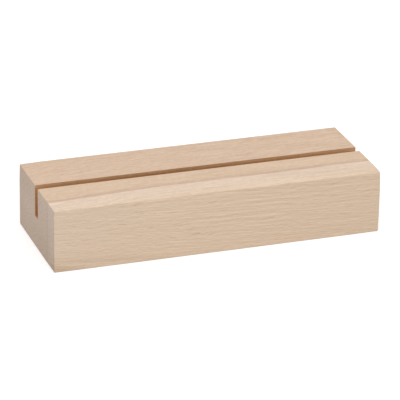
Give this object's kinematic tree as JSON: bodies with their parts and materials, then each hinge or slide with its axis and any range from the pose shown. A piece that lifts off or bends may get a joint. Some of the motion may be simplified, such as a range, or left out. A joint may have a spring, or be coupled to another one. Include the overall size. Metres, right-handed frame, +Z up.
{
  "type": "photo block holder",
  "caption": "Low rectangular block of solid pale beech with one narrow slot sawn along its top from end to end, in which a print or card stands upright.",
  "frame": {"origin": "centre of the base, on the surface that the block rests on", "axes": "+X along the block and its slot, +Y from the front face to the rear face, +Z up"},
  "size_m": [0.104, 0.038, 0.02],
  "materials": {
    "beech": "planed and finely sanded, bare, with saw-cut walls in the slot"
  },
  "bodies": {
    "root": {"slotted_block": "beech"}
  },
  "joints": []
}
